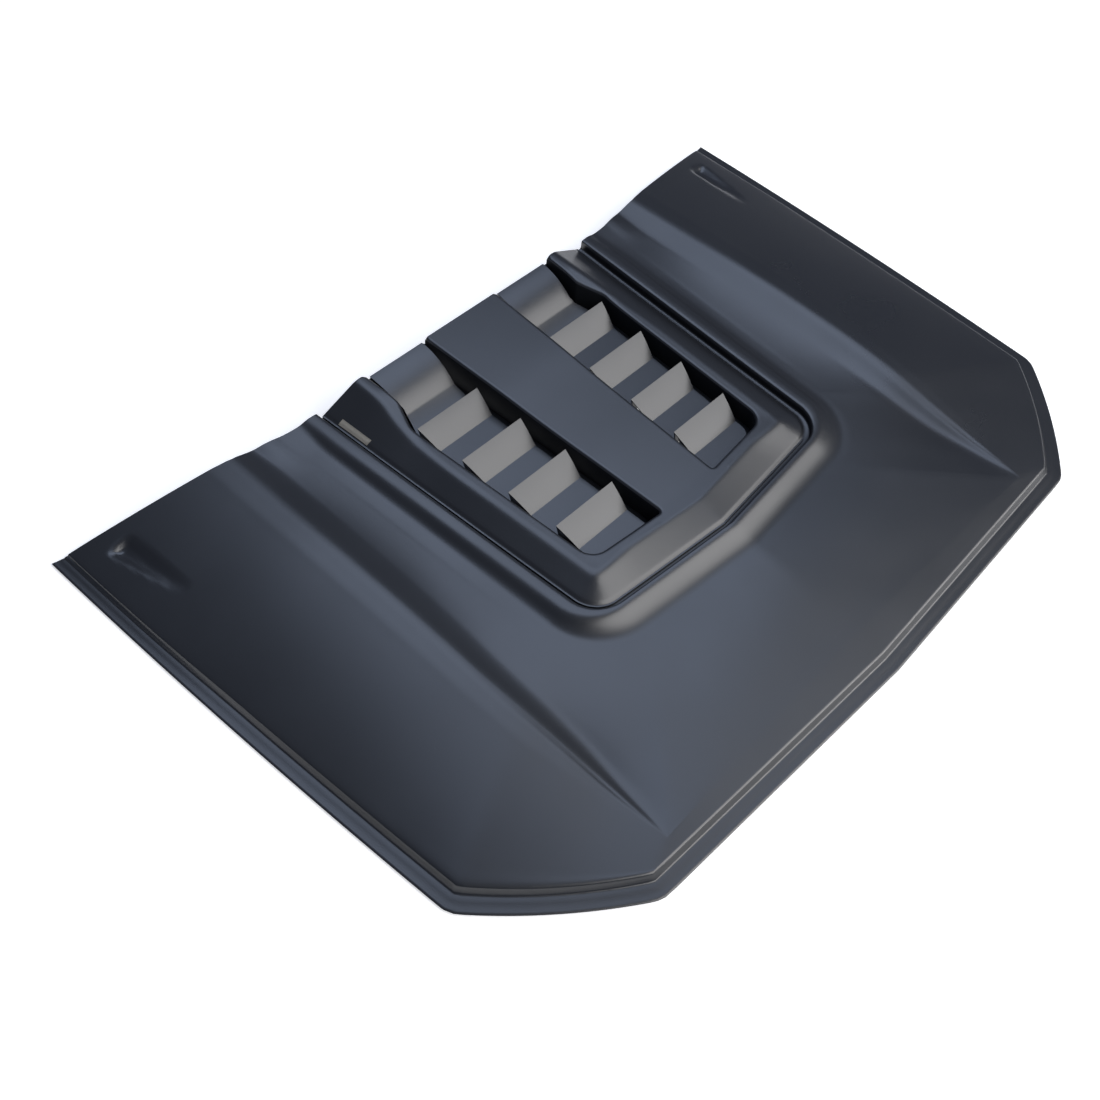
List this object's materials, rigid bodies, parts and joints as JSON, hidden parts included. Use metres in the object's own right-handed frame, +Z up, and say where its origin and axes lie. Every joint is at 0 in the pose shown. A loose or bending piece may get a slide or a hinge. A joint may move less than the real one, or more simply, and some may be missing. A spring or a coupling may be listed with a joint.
{
  "type": "bonnet scoop",
  "caption": "Full-width bonnet scoop: a thin moulded cover with soft shoulders and a raised plinth round a louvred vent insert.",
  "frame": {"origin": "on the plane that the cover is bonded to, under the middle of its box", "axes": "X runs across the car, +Y towards the windscreen, +Z up"},
  "size_m": [1.4, 0.92, 0.0746],
  "materials": {
    "cover": "satin black, fine moulded grain",
    "insert": "satin black, fine moulded grain",
    "louvres": "satin black, fine moulded grain",
    "nuts": "stamped spring steel",
    "tape": "dull foam tape"
  },
  "bodies": {
    "root": {"cover": "cover", "vent_insert": "insert", "louvre_bank_right": "louvres", "louvre_bank_left": "louvres", "push_nuts": "nuts", "tape_side_right": "tape", "tape_side_left": "tape", "tape_corner_right": "tape", "tape_corner_left": "tape", "tape_front_right": "tape", "tape_front_left": "tape"}
  },
  "joints": []
}
